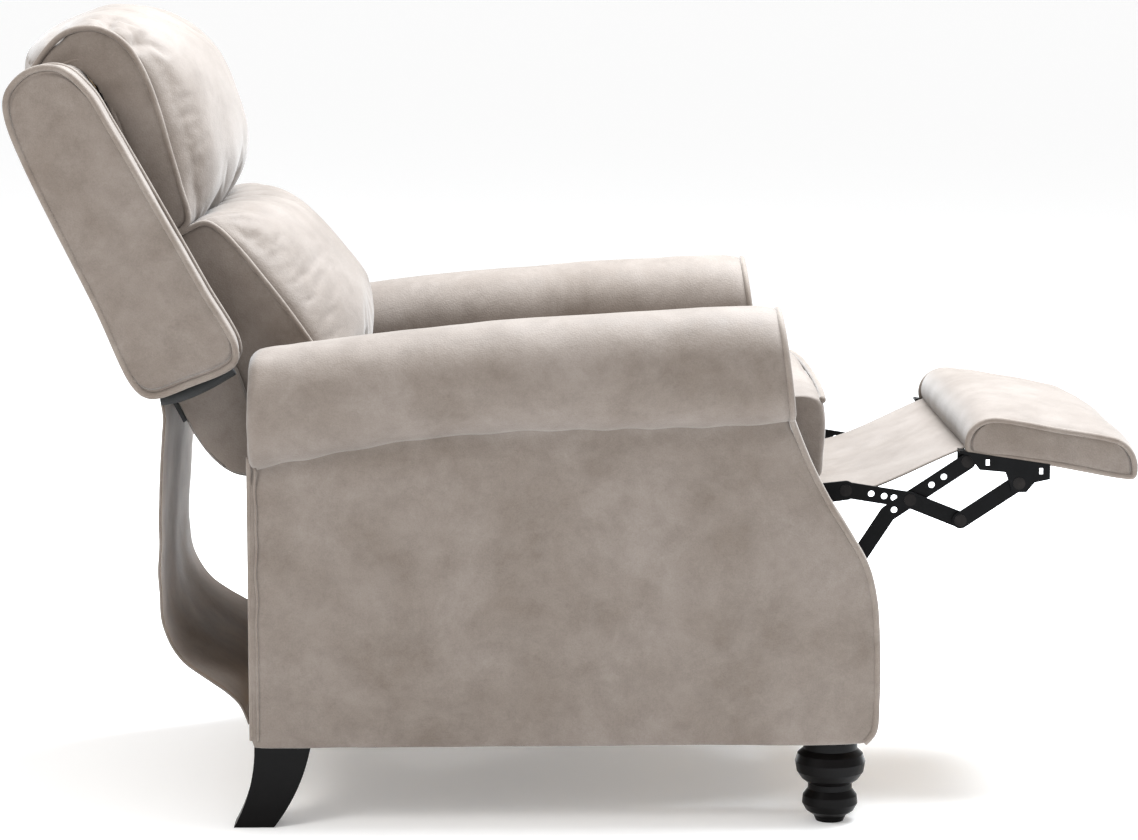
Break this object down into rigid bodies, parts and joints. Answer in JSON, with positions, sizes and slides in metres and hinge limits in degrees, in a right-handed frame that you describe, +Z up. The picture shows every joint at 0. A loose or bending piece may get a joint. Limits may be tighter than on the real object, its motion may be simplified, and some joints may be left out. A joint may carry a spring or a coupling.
{
  "type": "recliner armchair",
  "caption": "Upholstered recliner armchair with roll arms, winged back, folding footrest on a steel linkage and turned front feet.",
  "frame": {"origin": "centre of the bounding box's bottom face, on the floor, in the reclined rest pose", "axes": "+X toward the footrest, +Y toward the chair's left arm, +Z up"},
  "size_m": [1.3934, 0.75, 0.9853],
  "materials": {
    "upholstery": "distressed soft faux suede, mottled greige",
    "flap_fabric": "matte woven-backed fabric",
    "webbing": "woven elastic webbing",
    "frame_wood": "plain sawn plywood and hardwood",
    "foot_wood": "dark semi-gloss lacquer",
    "black_steel": "satin black paint",
    "bright_steel": "plain zinc-plated steel",
    "rivet_steel": "dark plated steel"
  },
  "bodies": {
    "base": {"arm_upholstery_left": "upholstery", "arm_upholstery_right": "upholstery", "arm_side_board_left": "frame_wood", "arm_side_board_right": "frame_wood", "arm_sill_left": "frame_wood", "arm_sill_right": "frame_wood", "base_front_rail": "frame_wood", "base_rear_rail": "frame_wood", "front_foot_left": "foot_wood", "front_foot_right": "foot_wood", "rear_leg_left": "foot_wood", "rear_leg_right": "foot_wood", "foot_hanger_bolts": "bright_steel", "mechanism_base_rail_left": "black_steel", "mechanism_base_rail_right": "black_steel", "base_pivot_rivets": "rivet_steel", "rear_flap": "flap_fabric"},
    "rear_swing": {"rear_swing_link_left": "black_steel", "rear_swing_link_right": "black_steel", "swing_torque_tube": "black_steel"},
    "front_swing": {"front_swing_link_left": "black_steel", "front_swing_link_right": "black_steel"},
    "seat": {"seat_side_plate_left": "black_steel", "seat_side_plate_right": "black_steel", "seat_side_rail_left": "frame_wood", "seat_side_rail_right": "frame_wood", "seat_front_rail": "frame_wood", "seat_rear_rail": "frame_wood", "seat_springs": "bright_steel", "seat_cushion": "upholstery", "seat_pivot_rivets": "rivet_steel", "front_flap": "flap_fabric"},
    "back": {"back_post_left": "frame_wood", "back_post_right": "frame_wood", "back_bracket_left": "black_steel", "back_bracket_right": "black_steel", "back_top_rail": "frame_wood", "back_bottom_rail": "frame_wood", "back_webbing": "webbing", "wing_left": "upholstery", "wing_right": "upholstery", "outside_back_panel": "upholstery", "head_cushion": "upholstery", "lumbar_cushion": "upholstery"},
    "long_links": {"footrest_long_link_left": "black_steel", "footrest_long_link_right": "black_steel", "long_link_rivets": "rivet_steel"},
    "cross_links": {"footrest_cross_link_left": "black_steel", "footrest_cross_link_right": "black_steel", "cross_link_rivets": "rivet_steel"},
    "front_links": {"footrest_front_link_left": "black_steel", "footrest_front_link_right": "black_steel", "front_link_rivets": "rivet_steel"},
    "footrest": {"footrest_bracket_left": "black_steel", "footrest_bracket_right": "black_steel", "footrest_board": "frame_wood", "footrest_pad": "upholstery"}
  },
  "joints": [
    {"name": "recline", "type": "hinge", "parent": "base", "child": "rear_swing", "pos_m": [-0.23, 0, 0.19], "axis": [0, 1, 0], "range_deg": [-35, 8], "deforming": ["rear_flap"]},
    {"name": "seat_carry", "type": "hinge", "parent": "rear_swing", "child": "seat", "pos_m": [-0.21263, 0, 0.28848], "axis": [0, 1, 0], "range_deg": [-8.5, 35.5]},
    {"name": "front_swing_follow", "type": "hinge", "parent": "base", "child": "front_swing", "pos_m": [0.12, 0, 0.19], "axis": [0, 1, 0], "range_deg": [-35.5, 8.5]},
    {"name": "back_tilt", "type": "hinge", "parent": "seat", "child": "back", "pos_m": [-0.345, 0, 0.4], "axis": [0, 1, 0], "range_deg": [-4, 16.2]},
    {"name": "footrest_fold", "type": "hinge", "parent": "seat", "child": "long_links", "pos_m": [0.324, 0, 0.396], "axis": [0, 1, 0], "range_deg": [0, 83], "deforming": ["front_flap"]},
    {"name": "cross_link_turn", "type": "hinge", "parent": "long_links", "child": "cross_links", "pos_m": [0.404, 0, 0.383], "axis": [0, 1, 0], "range_deg": [-128.5, 0]},
    {"name": "front_link_turn", "type": "hinge", "parent": "long_links", "child": "front_links", "pos_m": [0.466, 0, 0.358], "axis": [0, 1, 0], "range_deg": [-128.5, 0]},
    {"name": "footrest_turn", "type": "hinge", "parent": "cross_links", "child": "footrest", "pos_m": [0.475, 0, 0.43], "axis": [0, 1, 0], "range_deg": [0, 128.5]}
  ],
  "couplings": [
    {"joint": "seat_carry", "follows": "recline", "ratio": -1},
    {"joint": "front_swing_follow", "follows": "recline", "ratio": 1},
    {"joint": "back_tilt", "follows": "recline", "ratio": -0.45},
    {"joint": "cross_link_turn", "follows": "footrest_fold", "ratio": -1.5422},
    {"joint": "front_link_turn", "follows": "footrest_fold", "ratio": -1.5422},
    {"joint": "footrest_turn", "follows": "footrest_fold", "ratio": 1.5422}
  ]
}
